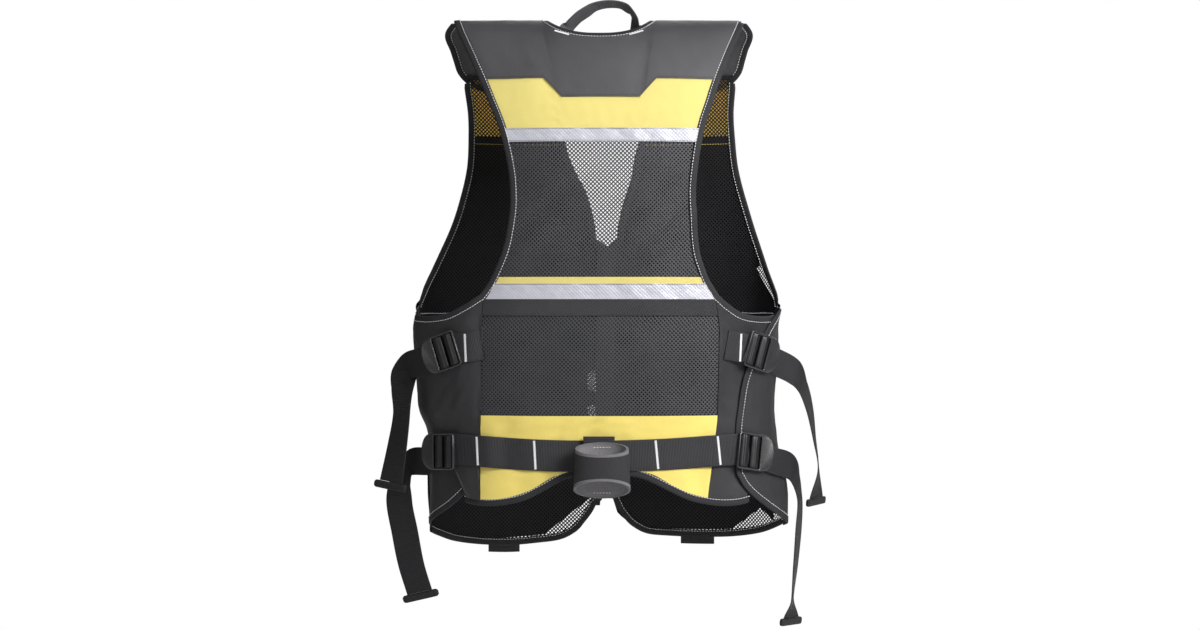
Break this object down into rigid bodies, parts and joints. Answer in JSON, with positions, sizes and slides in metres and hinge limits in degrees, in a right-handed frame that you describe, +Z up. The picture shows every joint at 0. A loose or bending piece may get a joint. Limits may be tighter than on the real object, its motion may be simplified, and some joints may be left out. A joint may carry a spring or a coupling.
{
  "type": "utility work vest",
  "caption": "Worn work vest: netted back, yellow and reflective bands, padded yoke, waist belt, ladder-lock straps, grab handle and hammer loop.",
  "frame": {"origin": "middle of the shoulder ridge, where the vest hangs on a wearer's shoulders", "axes": "+Z up, -Y out of the vest's back, +Y out of its front, +X towards the wearer's right side"},
  "size_m": [0.6573, 0.2903, 0.9001],
  "materials": {
    "cloth_dark": "coarse woven nylon, matt",
    "binding": "woven edge binding, matt",
    "net": "coarse knitted netting",
    "cloth_yellow": "plain woven high-visibility cloth",
    "tape_reflective": "satin reflective tape",
    "webbing": "ribbed polyester webbing",
    "buckle": "satin moulded",
    "hide": "coated, with pale cut edges"
  },
  "bodies": {
    "root": {"back_yoke": "cloth_dark", "back_side_left": "cloth_dark", "back_side_right": "cloth_dark", "front_side_left": "cloth_dark", "front_side_right": "cloth_dark", "shoulder_left": "cloth_dark", "shoulder_right": "cloth_dark", "front_pocket_upper_left": "cloth_dark", "front_pocket_upper_right": "cloth_dark", "front_pocket_lower_left": "cloth_dark", "front_pocket_lower_right": "cloth_dark", "back_armhole_binding_left": "binding", "back_armhole_binding_right": "binding", "front_armhole_binding_left": "binding", "front_armhole_binding_right": "binding", "front_edge_binding_left": "binding", "front_edge_binding_right": "binding", "flap_binding_left": "binding", "flap_binding_right": "binding", "shoulder_binding_left": "binding", "shoulder_binding_right": "binding", "neck_binding": "binding", "back_hem_binding": "binding", "front_zip": "binding", "net_back_upper": "net", "net_back_lower": "net", "front_net_left": "net", "front_net_right": "net", "yellow_band_upper": "cloth_yellow", "yellow_stripe": "cloth_yellow", "yellow_lumbar": "cloth_yellow", "front_chest_left": "cloth_yellow", "front_chest_right": "cloth_yellow", "reflective_upper": "tape_reflective", "reflective_lower": "tape_reflective", "back_webbing": "webbing", "waist_belt": "webbing", "anchor_strap_left": "webbing", "anchor_strap_right": "webbing", "grab_handle": "webbing", "hem_tab_left": "webbing", "hem_tab_right": "webbing", "adjust_strap_upper_left": "webbing", "adjust_strap_upper_right": "webbing", "adjust_strap_lower_left": "webbing", "adjust_strap_lower_right": "webbing", "strap_end_upper_left": "webbing", "strap_end_upper_right": "webbing", "strap_end_lower_left": "webbing", "strap_end_lower_right": "webbing", "lock_upper_left": "buckle", "lock_upper_right": "buckle", "lock_lower_left": "buckle", "lock_lower_right": "buckle", "hammer_loop": "hide", "hammer_keeper": "hide"}
  },
  "joints": []
}
